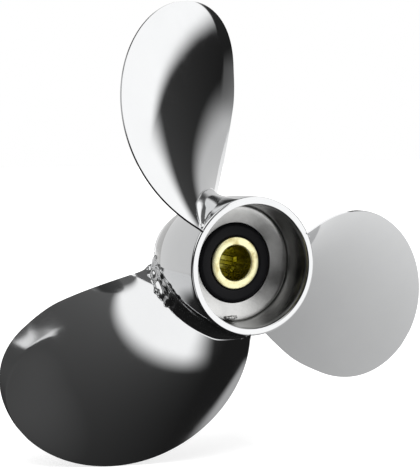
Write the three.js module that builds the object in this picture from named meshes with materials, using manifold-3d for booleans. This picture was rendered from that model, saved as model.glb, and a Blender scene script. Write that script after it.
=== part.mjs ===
// Three-bladed stainless outboard propeller with a rubber cushion hub.
// Millimetres. The shaft runs along Y: y = 0 is the plane of the hub's forward rim, +Y points aft,
// +Z is up.
import * as THREE from 'three';
import { mergeVertices } from 'three/addons/utils/BufferGeometryUtils.js';
import Module from 'manifold-3d';

const wasm = await Module();
wasm.setup();

// Whole propeller
const PROP_RADIUS = 117.5;
const PITCH = 254;
const BLADE_NAMES = ['upper', 'lower_left', 'right'];
const BLADE_CLOCK = 105.4; // degrees from +X towards +Z, at the middle of the upper blade's root
const BLADE_MID_Y = 28.9; // where the middle of each root sits along the shaft
const FIT_GAP = 0.25; // left between pieces that touch

// Hub barrel
const RIM_RADIUS = 30.5;
const BARREL_LENGTH = 61.5;
const AFT_RADIUS = 19.2;
const TAPER_POWER = 2.45;
const RECESS_MOUTH_RADIUS = 27.3;
const RECESS_FLOOR_RADIUS = 25.9;
const RECESS_DEPTH = 15.5;
const BARREL_WALL = 3.2;
const AFT_WEB_Y = 51.5; // forward face of the closed aft end
const AFT_OPENING_RADIUS = 13.2;

// Bush housing
const HOUSING_BORE_RADIUS = 18.15;
const HOUSING_TUBE_RADIUS = 20.2;
const HOUSING_FLOOR_DISH = 2.2; // how much deeper the floor is at the bore than at its outer edge
const HOUSING_FLANGE_THICKNESS = 4;

// Rubber bush and drive sleeve
const RUBBER_RADIUS = 17.9;
const RUBBER_FRONT_Y = 17;
const RUBBER_BACK_Y = 50.3;
const SLEEVE_RADIUS = 11.75;
const SLEEVE_FRONT_Y = 16.6;
const SLEEVE_BACK_Y = 58;
const COUNTERBORE_RADIUS = 7.9;
const COUNTERBORE_DEPTH = 14.5;
const SPLINE_COUNT = 10;
const SPLINE_ROOT_RADIUS = 7.6;
const SPLINE_CREST_RADIUS = 6.5;

// Blades: half widths along the helix on each side of the mid line, then the sweep of that mid line
const ROOT_INNER_RADIUS = 16; // the blade is cut back from here to the barrel's skin
const LEADING_WIDTH = [36.1, 33.7, -1.5]; // as a + b u + c u^2, with u = 0 at the root and 1 at the tip
const TRAILING_WIDTH = [29.6, 39.3, 4.3];
const SWEEP = [0, -11.8, 29];
const RAKE_SLOPE = 0.153;
const RAKE_CURVE = 0.00106;
const ROOT_THICKNESS = 6.4;
const TIP_THICKNESS = 1.9;
const EDGE_THICKNESS = 1.3;
const FORWARD_FACE_SHARE = 0.85; // the forward face carries most of the camber, the aft face is nearly true
const WELD_RADIUS = 6.5;
const WELD_LIP = 0.45;
const WELD_GAP = 0.4; // between a weld and its blade; the weld follows a curved face in flat steps

const ROUND_SEGMENTS = 60;
const BLADE_ROWS = 18;
const BLADE_COLUMNS = 18;

const poly = (coefficients, u) => coefficients.reduceRight((sum, c) => sum * u + c, 0);

function barrelRadius(y) {
  const t = Math.min(Math.max(y / BARREL_LENGTH, 0), 1);
  return RIM_RADIUS - (RIM_RADIUS - AFT_RADIUS) * t ** TAPER_POWER;
}

// ---- Materials -------------------------------------------------------------------------------

function polishedSteel() {
  return new THREE.MeshStandardMaterial({ color: 0xd9dadb, roughness: 0.08, metalness: 1 });
}

function castSteel() {
  return new THREE.MeshStandardMaterial({ color: 0xbcbdbd, roughness: 0.5, metalness: 0.9 });
}

function weldSteel() {
  return new THREE.MeshStandardMaterial({ color: 0xc4c4c2, roughness: 0.22, metalness: 1 });
}

function blackRubber() {
  return new THREE.MeshStandardMaterial({ color: 0x101012, roughness: 0.55, metalness: 0 });
}

function paleBrass() {
  return new THREE.MeshStandardMaterial({ color: 0xd8cf86, roughness: 0.4, metalness: 0.85 });
}

// ---- Geometry helpers ------------------------------------------------------------------------

function welded(geometry) {
  const copy = geometry.clone();
  copy.deleteAttribute('normal');
  copy.deleteAttribute('uv');
  return mergeVertices(copy, 1e-4);
}

function signedVolume(positions, triangles) {
  const corners = [new THREE.Vector3(), new THREE.Vector3(), new THREE.Vector3()];
  let sum = 0;
  for (let i = 0; i < triangles.length; i += 3) {
    corners.forEach((corner, k) => corner.fromArray(positions, 3 * triangles[i + k]));
    sum += corners[0].dot(corners[1].clone().cross(corners[2]));
  }
  return sum / 6;
}

function toSolid(geometry) {
  const clean = welded(geometry);
  const triVerts = new Uint32Array(clean.index.array);
  const vertProperties = new Float32Array(clean.attributes.position.array);
  if (signedVolume(vertProperties, triVerts) < 0) {
    for (let i = 0; i < triVerts.length; i += 3) {
      [triVerts[i], triVerts[i + 1]] = [triVerts[i + 1], triVerts[i]];
    }
  }
  return new wasm.Manifold(new wasm.Mesh({ numProp: 3, vertProperties, triVerts }));
}

function toGeometry(solid) {
  const mesh = solid.getMesh();
  const geometry = new THREE.BufferGeometry();
  geometry.setAttribute('position', new THREE.BufferAttribute(new Float32Array(mesh.vertProperties), 3));
  geometry.setIndex(new THREE.BufferAttribute(new Uint32Array(mesh.triVerts), 1));
  geometry.computeVertexNormals();
  return geometry;
}

function gridGeometry(points, triangles) {
  const geometry = new THREE.BufferGeometry().setFromPoints(points);
  geometry.setIndex(triangles);
  return geometry;
}

// A closed [radius, y] outline turned about the shaft.
function turned(outline, segments = ROUND_SEGMENTS) {
  const ring = outline.map(([r, y]) => new THREE.Vector2(r, y));
  if (outline[0][0] > 0) ring.push(ring[0].clone());
  return new THREE.LatheGeometry(ring, segments);
}

// A quarter round of the given radius about a centre, from one angle to another in degrees.
function arc(r, y, radius, from, to, steps = 4) {
  return Array.from({ length: steps + 1 }, (_, i) => {
    const angle = THREE.MathUtils.degToRad(from + ((to - from) * i) / steps);
    return [r + radius * Math.cos(angle), y + radius * Math.sin(angle)];
  });
}

function named(name, geometry, material) {
  const mesh = new THREE.Mesh(geometry, material);
  mesh.name = name;
  return mesh;
}

// ---- Hub -------------------------------------------------------------------------------------

function hubBarrel() {
  const rimRound = 0.9;
  const mouthBevel = 0.7;
  const aftRound = 2.2;
  const aftBevel = 0.5;
  const waistY = 38;
  const steps = 8;
  const outer = [];
  for (let i = 1; i <= steps; i += 1) {
    const y = rimRound + ((BARREL_LENGTH - aftRound - rimRound) * i) / steps;
    outer.push([barrelRadius(y), y]);
  }
  const aftCentre = barrelRadius(BARREL_LENGTH - aftRound) - aftRound;
  const cavityRadius = barrelRadius(AFT_WEB_Y) - BARREL_WALL + 1;
  const outline = [
    [RECESS_MOUTH_RADIUS + mouthBevel, 0],
    ...arc(RIM_RADIUS - rimRound, rimRound, rimRound, -90, 0, 3),
    ...outer,
    ...arc(aftCentre, BARREL_LENGTH - aftRound, aftRound, 15, 90, 3),
    [AFT_OPENING_RADIUS + aftBevel, BARREL_LENGTH],
    [AFT_OPENING_RADIUS, BARREL_LENGTH - aftBevel],
    [AFT_OPENING_RADIUS, AFT_WEB_Y],
    [cavityRadius, AFT_WEB_Y],
    [barrelRadius(waistY) - BARREL_WALL, waistY],
    [RECESS_FLOOR_RADIUS, RECESS_DEPTH + HOUSING_FLANGE_THICKNESS + 2],
    [RECESS_FLOOR_RADIUS, RECESS_DEPTH],
    [RECESS_MOUTH_RADIUS, 0.8],
  ];
  return turned(outline);
}

function bushHousing() {
  const bevel = 0.6;
  const rim = RECESS_FLOOR_RADIUS - FIT_GAP;
  const backY = AFT_WEB_Y - FIT_GAP;
  const flangeY = RECESS_DEPTH + HOUSING_FLANGE_THICKNESS;
  const boreY = RECESS_DEPTH + HOUSING_FLOOR_DISH;
  return turned([
    [rim - bevel, RECESS_DEPTH],
    [rim, RECESS_DEPTH + bevel],
    [rim, flangeY],
    [HOUSING_TUBE_RADIUS + 1, flangeY + HOUSING_FLOOR_DISH],
    [HOUSING_TUBE_RADIUS, flangeY + HOUSING_FLOOR_DISH + 2],
    [HOUSING_TUBE_RADIUS, backY],
    [HOUSING_BORE_RADIUS, backY],
    [HOUSING_BORE_RADIUS, boreY + bevel],
    [HOUSING_BORE_RADIUS + bevel, boreY],
  ]);
}

function rubberBush() {
  const inner = SLEEVE_RADIUS + FIT_GAP;
  const lip = 1.2;
  const round = 1.9;
  return turned([
    [inner, RUBBER_FRONT_Y + 1],
    ...arc(inner + lip, RUBBER_FRONT_Y + lip, lip, 200, 270, 2),
    ...arc(RUBBER_RADIUS - round, RUBBER_FRONT_Y + round, round, -90, 0, 4),
    ...arc(RUBBER_RADIUS - round, RUBBER_BACK_Y - round, round, 0, 90, 3),
    [inner, RUBBER_BACK_Y],
  ]);
}

// The star-shaped hole left between the splines, as a closed outline of flat crests and roots.
function splineShape() {
  const shape = new THREE.Shape();
  const step = (2 * Math.PI) / SPLINE_COUNT;
  for (let i = 0; i < SPLINE_COUNT; i += 1) {
    const corners = [
      [SPLINE_CREST_RADIUS, -0.27],
      [SPLINE_CREST_RADIUS, 0],
      [SPLINE_CREST_RADIUS, 0.24],
      [SPLINE_ROOT_RADIUS, 0.3],
      [SPLINE_ROOT_RADIUS, 0.5],
      [SPLINE_ROOT_RADIUS, 0.67],
    ];
    corners.forEach(([r, part], k) => {
      const angle = (i + part) * step;
      const place = [r * Math.cos(angle), r * Math.sin(angle)];
      if (i === 0 && k === 0) shape.moveTo(...place);
      else shape.lineTo(...place);
    });
  }
  shape.closePath();
  return shape;
}

function driveSleeve() {
  const bevel = 0.5;
  const mouthBevel = 1.4;
  const runOut = 0.8;
  const shelfY = SLEEVE_FRONT_Y + COUNTERBORE_DEPTH;
  const body = toSolid(
    turned([
      [0, SLEEVE_FRONT_Y],
      [SLEEVE_RADIUS - bevel, SLEEVE_FRONT_Y],
      [SLEEVE_RADIUS, SLEEVE_FRONT_Y + bevel],
      [SLEEVE_RADIUS, SLEEVE_BACK_Y - bevel],
      [SLEEVE_RADIUS - bevel, SLEEVE_BACK_Y],
      [0, SLEEVE_BACK_Y],
    ]),
  );
  const counterbore = toSolid(
    turned([
      [0, SLEEVE_FRONT_Y - 1],
      [COUNTERBORE_RADIUS + mouthBevel, SLEEVE_FRONT_Y - 1],
      [COUNTERBORE_RADIUS, SLEEVE_FRONT_Y - 1 + mouthBevel],
      [COUNTERBORE_RADIUS, shelfY - runOut],
      [SPLINE_CREST_RADIUS, shelfY],
      [0, shelfY],
    ]),
  );
  const length = SLEEVE_BACK_Y - SLEEVE_FRONT_Y;
  const splines = new THREE.ExtrudeGeometry(splineShape(), { depth: length, bevelEnabled: false });
  splines.rotateX(-Math.PI / 2);
  splines.translate(0, shelfY - 2, 0);
  return toGeometry(body.subtract(counterbore).subtract(toSolid(splines)));
}

// ---- Blades ----------------------------------------------------------------------------------

const span = PROP_RADIUS - RIM_RADIUS;
const lead = PITCH / (2 * Math.PI);
const spanFraction = (r) => Math.min(Math.max((r - RIM_RADIUS) / span, 0), 1);

// Half widths of the blade before and after its mid line at a radius, and where that mid line lies.
function widths(r) {
  const u = spanFraction(r);
  const taper = Math.sqrt(Math.max(1 - u * u, 0));
  return {
    ahead: poly(LEADING_WIDTH, u) * taper,
    behind: poly(TRAILING_WIDTH, u) * taper,
    middle: poly(SWEEP, u),
  };
}

// A point of the screw surface at radius r, a distance s along the helix towards the trailing edge.
function screwPoint(r, s, clock) {
  const turn = s / Math.hypot(r, lead);
  const out = Math.max(r - RIM_RADIUS, 0);
  const y = BLADE_MID_Y + lead * turn + RAKE_SLOPE * out - RAKE_CURVE * out * out;
  const angle = clock - turn;
  return new THREE.Vector3(r * Math.cos(angle), y, r * Math.sin(angle));
}

// The unit normal of the screw surface, on the forward side.
function screwNormal(r, s, clock) {
  const step = 0.05;
  const outward = screwPoint(r + step, s, clock).sub(screwPoint(r - step, s, clock));
  const along = screwPoint(r, s + step, clock).sub(screwPoint(r, s - step, clock));
  const normal = outward.cross(along).normalize();
  return normal.y > 0 ? normal.negate() : normal;
}

// Chordwise position for a fraction from -1 at the leading edge to 1 at the trailing edge.
function chordwise(r, v) {
  const { ahead, behind, middle } = widths(r);
  return middle + (v < 0 ? v * ahead : v * behind);
}

// Height of a face above the screw surface; the edges are rounded off over half their thickness.
function faceHeight(r, v) {
  const u = spanFraction(r);
  const { ahead, behind } = widths(r);
  const half = EDGE_THICKNESS / 2;
  const inFromEdge = Math.min((1 - Math.abs(v)) * (v < 0 ? ahead : behind), PROP_RADIUS - r);
  const rounding = Math.min(inFromEdge / half, 1);
  const rounded = half * Math.sqrt(1 - (1 - rounding) ** 2);
  const thickness = ROOT_THICKNESS + (TIP_THICKNESS - ROOT_THICKNESS) * u ** 0.8;
  const camber = (thickness - EDGE_THICKNESS) * (1 - v * v) * Math.sqrt(1 - u ** 6);
  return { rounded, camber };
}

function bladeStations() {
  const inner = [ROOT_INNER_RADIUS, (ROOT_INNER_RADIUS + RIM_RADIUS) / 2];
  const radii = [];
  for (let i = 0; i < BLADE_ROWS; i += 1) {
    radii.push(RIM_RADIUS + span * Math.sin((Math.PI / 2) * (i / BLADE_ROWS)));
  }
  return [...inner, ...radii, PROP_RADIUS - EDGE_THICKNESS / 2];
}

// Fractions across the blade, with an extra line just inside each edge for the rounding.
function columnsAt(r) {
  const { ahead, behind } = widths(r);
  const half = EDGE_THICKNESS / 2;
  const start = -1 + Math.min(half / ahead, 0.2);
  const end = 1 - Math.min(half / behind, 0.2);
  const middle = Array.from({ length: BLADE_COLUMNS - 1 }, (_, i) => {
    return start + ((end - start) * i) / (BLADE_COLUMNS - 2);
  });
  return [-1, ...middle, 1];
}

// One blade from inside the barrel to its tip: a forward and an aft face that share their outline.
function bladeBlank(clock) {
  const points = [];
  const rows = { forward: [], aft: [] };
  const put = (point) => points.push(point) - 1;
  for (const r of bladeStations()) {
    const forward = [];
    const aft = [];
    for (const v of columnsAt(r)) {
      const s = chordwise(r, v);
      const place = screwPoint(r, s, clock);
      const normal = screwNormal(r, s, clock);
      const { rounded, camber } = faceHeight(r, v);
      const up = rounded + camber * FORWARD_FACE_SHARE;
      const down = rounded + camber * (1 - FORWARD_FACE_SHARE);
      forward.push(put(place.clone().addScaledVector(normal, up)));
      aft.push(Math.abs(v) === 1 ? forward.at(-1) : put(place.clone().addScaledVector(normal, -down)));
    }
    rows.forward.push(forward);
    rows.aft.push(aft);
  }
  const tip = put(screwPoint(PROP_RADIUS, chordwise(PROP_RADIUS, 0), clock));
  const triangles = [];
  const face = (a, b, c) => {
    if (a !== b && b !== c && a !== c) triangles.push(a, b, c);
  };
  const last = rows.forward.length - 1;
  for (let j = 0; j < BLADE_COLUMNS; j += 1) {
    for (let i = 0; i < last; i += 1) {
      const [f, g] = [rows.forward[i], rows.forward[i + 1]];
      face(f[j], f[j + 1], g[j + 1]);
      face(f[j], g[j + 1], g[j]);
      const [a, b] = [rows.aft[i], rows.aft[i + 1]];
      face(a[j], b[j + 1], a[j + 1]);
      face(a[j], b[j], b[j + 1]);
    }
    face(rows.forward[last][j], rows.forward[last][j + 1], tip);
    face(rows.aft[last][j], tip, rows.aft[last][j + 1]);
    face(rows.forward[0][j], rows.aft[0][j], rows.aft[0][j + 1]);
    face(rows.forward[0][j], rows.aft[0][j + 1], rows.forward[0][j + 1]);
  }
  return gridGeometry(points, triangles);
}

// The barrel grown by the fit gap and run past both ends, which the blade roots are cut back to.
function barrelRoom() {
  const [start, end] = [-20, BARREL_LENGTH + 10];
  const steps = 14;
  const outline = [[0, start]];
  for (let i = 0; i <= steps; i += 1) {
    const y = start + (i * (end - start)) / steps;
    outline.push([barrelRadius(y) + FIT_GAP, y]);
  }
  outline.push([0, end]);
  return toSolid(turned(outline));
}

function blade(clock) {
  return toGeometry(toSolid(bladeBlank(clock)).subtract(barrelRoom()));
}

// ---- Root welds ------------------------------------------------------------------------------

// Where the blade's mid surface meets the barrel, for a fraction across the blade.
function rootRadius(v, clock) {
  let r = RIM_RADIUS;
  for (let i = 0; i < 12; i += 1) r = barrelRadius(screwPoint(r, chordwise(r, v), clock).y);
  return r;
}

// A point of the weld: w away from the blade's skin and d above the barrel's. The turn is 0 on the
// forward face, half a circle on the aft face, and in between round the trailing edge.
function weldPoint({ v, turn }, w, d, clock) {
  const r = rootRadius(v, clock) + d;
  const s = chordwise(r, v);
  const normal = screwNormal(r, s, clock);
  const along = screwPoint(r, s + 1, clock).sub(screwPoint(r, s, clock)).normalize();
  const { rounded, camber } = faceHeight(r, v);
  const forwardness = (1 + Math.cos(turn)) / 2;
  const share = 1 - FORWARD_FACE_SHARE + (2 * FORWARD_FACE_SHARE - 1) * forwardness;
  const reach = rounded + camber * share + w;
  const point = screwPoint(r, s, clock);
  point.addScaledVector(normal, Math.cos(turn) * reach).addScaledVector(along, Math.sin(turn) * reach);
  const scale = (barrelRadius(point.y) + d) / Math.hypot(point.x, point.z);
  return new THREE.Vector3(point.x * scale, point.y, point.z * scale);
}

// The weld's concave section as [away from the blade, above the barrel] pairs.
function weldSection() {
  const steps = 5;
  const start = Math.acos(1 - WELD_LIP / WELD_RADIUS);
  const hollow = Array.from({ length: steps + 1 }, (_, i) => {
    const angle = start + ((Math.PI / 2 - 2 * start) * i) / steps;
    return [WELD_RADIUS * (1 - Math.sin(angle)) + WELD_GAP, WELD_RADIUS * (1 - Math.cos(angle)) + FIT_GAP];
  });
  return [[WELD_GAP, FIT_GAP], [hollow[0][0], FIT_GAP], ...hollow, [WELD_GAP, hollow.at(-1)[1]]];
}

// The bead's course: aft along the forward face, round the trailing edge, then back along the aft face.
function weldCourse() {
  const forwardStart = -0.8;
  const aftStart = -0.92;
  const edge = 0.98;
  const steps = 14;
  const turns = 5;
  const towardsEdge = (start, i) => start + ((edge - start) * i) / steps;
  const course = [];
  for (let i = 0; i <= steps; i += 1) course.push({ v: towardsEdge(forwardStart, i), turn: 0 });
  for (let i = 1; i < turns; i += 1) course.push({ v: edge, turn: (Math.PI * i) / turns });
  for (let i = steps; i >= 0; i -= 1) course.push({ v: towardsEdge(aftStart, i), turn: Math.PI });
  return course;
}

function rootWeld(clock) {
  const section = weldSection();
  const points = [];
  const triangles = [];
  const rings = weldCourse().map((station) =>
    section.map(([w, d]) => points.push(weldPoint(station, w, d, clock)) - 1),
  );
  const count = section.length;
  for (let i = 0; i + 1 < rings.length; i += 1) {
    for (let j = 0; j < count; j += 1) {
      const k = (j + 1) % count;
      triangles.push(rings[i][j], rings[i + 1][j], rings[i + 1][k]);
      triangles.push(rings[i][j], rings[i + 1][k], rings[i][k]);
    }
  }
  const [first, last] = [rings[0], rings.at(-1)];
  for (let j = 1; j + 1 < count; j += 1) {
    triangles.push(first[0], first[j], first[j + 1]);
    triangles.push(last[0], last[j + 1], last[j]);
  }
  return toGeometry(toSolid(gridGeometry(points, triangles)));
}

// A short lumpy bead in the corner between the recess wall and the floor, at the bottom.
function tackWeld() {
  const bottom = THREE.MathUtils.degToRad(-98);
  const sunk = 1.3;
  const lumps = [[-0.075, 1.5], [0, 2], [0.08, 1.6]].map(([turn, size]) => {
    const ball = new THREE.IcosahedronGeometry(size, 1);
    const radius = RECESS_FLOOR_RADIUS - sunk;
    const angle = bottom + turn;
    ball.translate(radius * Math.cos(angle), RECESS_DEPTH + 0.4, radius * Math.sin(angle));
    return toSolid(ball);
  });
  const wall = RECESS_FLOOR_RADIUS - FIT_GAP;
  const room = toSolid(
    turned([
      [0, RECESS_DEPTH - 6],
      [wall, RECESS_DEPTH - 6],
      [wall, RECESS_DEPTH - FIT_GAP],
      [wall - 0.6, RECESS_DEPTH - FIT_GAP],
      [HOUSING_BORE_RADIUS, RECESS_DEPTH - FIT_GAP + HOUSING_FLOOR_DISH],
      [0, RECESS_DEPTH - FIT_GAP + HOUSING_FLOOR_DISH],
    ]),
  );
  return toGeometry(lumps.reduce((sum, lump) => sum.add(lump)).intersect(room));
}

// ---- Assembly --------------------------------------------------------------------------------

const propeller = new THREE.Group();
propeller.name = 'boat_propeller';
propeller.add(named('hub_barrel', toGeometry(toSolid(hubBarrel())), polishedSteel()));
propeller.add(named('bush_housing', toGeometry(toSolid(bushHousing())), castSteel()));
propeller.add(named('housing_tack_weld', tackWeld(), weldSteel()));
propeller.add(named('rubber_bush', toGeometry(toSolid(rubberBush())), blackRubber()));
propeller.add(named('drive_sleeve', driveSleeve(), paleBrass()));
BLADE_NAMES.forEach((name, i) => {
  const clock = THREE.MathUtils.degToRad(BLADE_CLOCK + (360 / BLADE_NAMES.length) * i);
  propeller.add(named(`blade_${name}`, blade(clock), polishedSteel()));
  propeller.add(named(`root_weld_${name}`, rootWeld(clock), weldSteel()));
});

export default propeller;
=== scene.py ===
"""Boat propeller: polished steel blades and hub, rubber cushion and splined brass sleeve."""

import math

import bmesh
import bpy
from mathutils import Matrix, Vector
from mathutils.bvhtree import BVHTree


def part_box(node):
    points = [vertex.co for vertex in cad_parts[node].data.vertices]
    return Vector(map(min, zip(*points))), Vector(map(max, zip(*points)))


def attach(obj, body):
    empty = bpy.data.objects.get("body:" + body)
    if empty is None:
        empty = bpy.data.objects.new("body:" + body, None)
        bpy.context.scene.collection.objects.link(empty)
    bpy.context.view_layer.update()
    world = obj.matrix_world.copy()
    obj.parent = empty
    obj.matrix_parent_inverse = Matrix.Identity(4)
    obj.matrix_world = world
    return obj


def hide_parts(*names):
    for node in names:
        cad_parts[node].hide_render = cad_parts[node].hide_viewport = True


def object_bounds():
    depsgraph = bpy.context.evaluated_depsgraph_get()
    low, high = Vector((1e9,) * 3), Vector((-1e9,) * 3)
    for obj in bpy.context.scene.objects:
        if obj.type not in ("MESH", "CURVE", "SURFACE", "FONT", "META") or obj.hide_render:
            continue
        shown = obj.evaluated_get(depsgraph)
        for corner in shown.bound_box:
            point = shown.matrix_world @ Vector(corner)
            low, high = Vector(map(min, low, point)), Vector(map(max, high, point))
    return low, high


bl_info = {
    "name": "Boat Propeller",
    "version": (1, 0, 0),
    "blender": (4, 5, 0),
    "location": "3D View > Sidebar > Propeller",
    "description": "Builds a three-bladed polished propeller with a rubber cushion hub",
    "category": "Object",
}

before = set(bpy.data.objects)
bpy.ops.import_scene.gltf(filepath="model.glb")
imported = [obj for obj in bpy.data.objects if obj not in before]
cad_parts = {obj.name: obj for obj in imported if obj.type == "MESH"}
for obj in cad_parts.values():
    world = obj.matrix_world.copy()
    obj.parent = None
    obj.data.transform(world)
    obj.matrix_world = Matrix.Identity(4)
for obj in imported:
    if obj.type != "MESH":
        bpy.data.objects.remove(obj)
CAD_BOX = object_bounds()
MM = 0.001

_, BARREL_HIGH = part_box("hub_barrel")
HOUSING_LOW, HOUSING_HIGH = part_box("bush_housing")
RUBBER_LOW, RUBBER_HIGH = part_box("rubber_bush")
SLEEVE_LOW, SLEEVE_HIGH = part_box("drive_sleeve")
BLADES = ("upper", "lower_left", "right")


def length_prop(title, description, default):
    return bpy.props.FloatProperty(
        name=title, description=description, default=default, unit="LENGTH")


def angle_prop(title, description, degrees):
    return bpy.props.FloatProperty(
        name=title, description=description, default=math.radians(degrees), subtype="ANGLE")


def colour_prop(title, description, default):
    return bpy.props.FloatVectorProperty(
        name=title, description=description, default=default, subtype="COLOR")


class HubSizes(bpy.types.PropertyGroup):
    """Sizes of the turned parts of the hub."""

    rim_radius: length_prop("Rim radius", "Outer radius of the forward rim", BARREL_HIGH.x)
    length: length_prop("Length", "Forward rim to aft end", BARREL_HIGH.y)
    aft_radius: length_prop("Aft radius", "Outer radius that the taper runs to", 19.2 * MM)
    taper_power: bpy.props.FloatProperty(
        name="Taper power", description="How late the taper turns in", default=2.45)
    mouth_radius: length_prop("Recess mouth", "Radius of the recess at the rim", 27.3 * MM)
    recess_radius: length_prop("Recess floor", "Radius of the recess at its floor", 25.9 * MM)
    recess_depth: length_prop("Recess depth", "Rim to the outer edge of the floor", HOUSING_LOW.y)
    floor_dish: length_prop("Floor dish", "Extra depth of the floor at the bush", 2.2 * MM)
    aft_opening: length_prop("Aft opening", "Radius of the hole at the aft end", 13.2 * MM)
    bush_bore: length_prop("Bush bore", "Radius of the housing's bore", 18.0 * MM)
    counterbore: length_prop("Counterbore", "Radius of the sleeve's smooth mouth", 7.9 * MM)
    counterbore_depth: length_prop("Counterbore depth", "Sleeve face to the splines", 14.5 * MM)
    spline_count: bpy.props.IntProperty(
        name="Splines", description="Number of splines in the sleeve", default=10)
    spline_root: length_prop("Spline root", "Radius between the splines", 7.6 * MM)
    spline_crest: length_prop("Spline crest", "Radius over the splines", 6.5 * MM)


class BladeSizes(bpy.types.PropertyGroup):
    """Sizes that shape one blade; the other two are copies of it."""

    tip_radius: length_prop("Tip radius", "Shaft axis to the blade tip", 117.5 * MM)
    pitch: length_prop("Pitch", "Advance in one turn", 254 * MM)
    clock: angle_prop("Clock", "Angle of the upper blade's root from +X towards +Z", 105.4)
    middle: length_prop("Root middle", "Place of the middle of the root along the shaft", 28.9 * MM)
    root_thickness: length_prop("Root thickness", "Greatest thickness at the hub", 6.4 * MM)
    tip_thickness: length_prop("Tip thickness", "Greatest thickness towards the tip", 1.9 * MM)
    edge_thickness: length_prop("Edge thickness", "Thickness along the edges", 0.9 * MM)
    cup: angle_prop("Cup", "Bend of the narrow strip along the trailing edge", 3)
    weld_reach: length_prop(
        "Weld reach", "How far the root fillet runs up the blade and the barrel", 5.2 * MM)


class SteelColours(bpy.types.PropertyGroup):
    """Colours of the finishes."""

    polished: colour_prop("Polished steel", "Mirror-polished stainless steel", (0.6, 0.605, 0.61))
    cast: colour_prop("Cast steel", "Blasted cast floor of the recess", (0.6, 0.6, 0.59))
    rubber: colour_prop("Rubber", "Moulded black rubber", (0.004, 0.004, 0.005))
    brass: colour_prop("Brass", "Pale machined brass", (0.85, 0.81, 0.5))
    # The next colour is painted shade: the brass of the sleeve's bore made darker to stand for the
    # shade inside the bore.
    oiled: colour_prop("Bore brass, painted shade", "Brass darkened as painted shade inside the bore", (0.5, 0.46, 0.07))
    stain: colour_prop("Stain", "Ochre stains on the brass", (0.66, 0.55, 0.22))


class StudioSizes(bpy.types.PropertyGroup):
    """Camera and stage."""

    azimuth: angle_prop("Azimuth", "Camera's turn round the object, 0 looks along +Y", -27.54)
    elevation: angle_prop("Elevation", "Camera's height above the shaft's level", 5.02)
    distance: length_prop("Distance", "Camera to the aim point", 0.631)
    aim: bpy.props.FloatVectorProperty(
        name="Aim", description="Point that the camera looks at",
        default=(-16.5 * MM, 9.9 * MM, 13.7 * MM), subtype="TRANSLATION")
    lens: bpy.props.FloatProperty(
        name="Lens", description="Focal length on a 36 mm sensor", default=111.2)
    floor_gap: length_prop("Floor gap", "Space left under the lowest blade", 0.2 * MM)
    lamp_power: bpy.props.FloatProperty(
        name="Lamp power", description="Power of the lamp overhead, in watts", default=9)
    lamp_size: length_prop("Lamp size", "Side of the square lamp overhead", 0.9)
    lamp_place: bpy.props.FloatVectorProperty(
        name="Lamp place", description="Middle of the lamp overhead",
        default=(-0.3, -0.5, 1.1), subtype="TRANSLATION")


# ---- Selection and modelling helpers ----


def deselect():
    """Leave edit mode with nothing selected."""
    if bpy.context.object and bpy.context.object.mode != "OBJECT":
        switch("OBJECT")
    bpy.ops.object.select_all(action="DESELECT")


def activate(piece):
    deselect()
    piece.select_set(True)
    bpy.context.view_layer.objects.active = piece


def pick(piece, chosen):
    """Select the vertices that a test chooses, in edit mode."""
    mesh = bmesh.from_edit_mesh(piece.data)
    for vert in mesh.verts:
        vert.select_set(False)
    for vert in mesh.verts:
        if chosen(vert):
            vert.select_set(True)
    mesh.select_flush_mode()
    bmesh.update_edit_mesh(piece.data)


def switch(mode):
    bpy.ops.object.mode_set(mode=mode)


def modify(piece, title, kind, **settings):
    """Add a modifier with its settings, to be applied later."""
    modifier = piece.modifiers.new(title, kind)
    for key, value in settings.items():
        setattr(modifier, key, value)


def apply_modifiers(piece):
    activate(piece)
    for modifier in list(piece.modifiers):
        bpy.ops.object.modifier_apply(modifier=modifier.name)


def smooth(piece, degrees):
    activate(piece)
    bpy.ops.object.shade_smooth_by_angle(angle=math.radians(degrees))


def clamp(value, low=0):
    return min(max(value, low), 1)


def outline_arc(r, y, radius, start, end, steps):
    """Points round a centre in the radius and shaft plane, angles in degrees."""
    points = []
    for i in range(steps + 1):
        angle = math.radians(start + (end - start) * i / steps)
        points.append((r + radius * math.cos(angle), y + radius * math.sin(angle)))
    return points


def turn(name, outline, steps):
    """Extrude a closed outline of (radius, y) points from one vertex and spin it round the shaft."""
    deselect()
    first_r, first_y = outline[0]
    bpy.ops.mesh.primitive_plane_add(size=MM, location=(0, 0, 0))
    piece = bpy.context.object
    piece.name = piece.data.name = name
    switch("EDIT")
    bpy.ops.mesh.merge(type="CENTER")
    bpy.ops.mesh.select_all(action="SELECT")
    bpy.ops.transform.translate(value=(first_r, first_y, 0))
    here = (first_r, first_y)
    for r, y in outline[1:] + outline[:1]:
        bpy.ops.mesh.extrude_region_move(
            TRANSFORM_OT_translate={"value": (r - here[0], y - here[1], 0)})
        here = (r, y)
    bpy.ops.mesh.select_all(action="SELECT")
    bpy.ops.mesh.remove_doubles(threshold=0.002 * MM)
    bpy.ops.mesh.spin(steps=steps, angle=math.tau, center=(0, 0, 0), axis=(0, 1, 0))
    bpy.ops.mesh.select_all(action="SELECT")
    bpy.ops.mesh.remove_doubles(threshold=0.002 * MM)
    bpy.ops.mesh.normals_make_consistent(inside=False)
    switch("OBJECT")
    return piece


def settle(piece, body, slot, *nodes):
    """Hang a finished piece on its body, in place of its frame nodes."""
    activate(piece)
    bpy.ops.object.transform_apply(location=True, rotation=True, scale=True)
    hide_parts(*nodes)
    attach(piece, body)
    return piece


# ---- Node helpers ----


def add_node(tree, kind, **settings):
    node = tree.nodes.new(kind)
    for key, value in settings.items():
        if key in node.inputs:
            node.inputs[key].default_value = value
        else:
            setattr(node, key, value)
    return node


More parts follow.
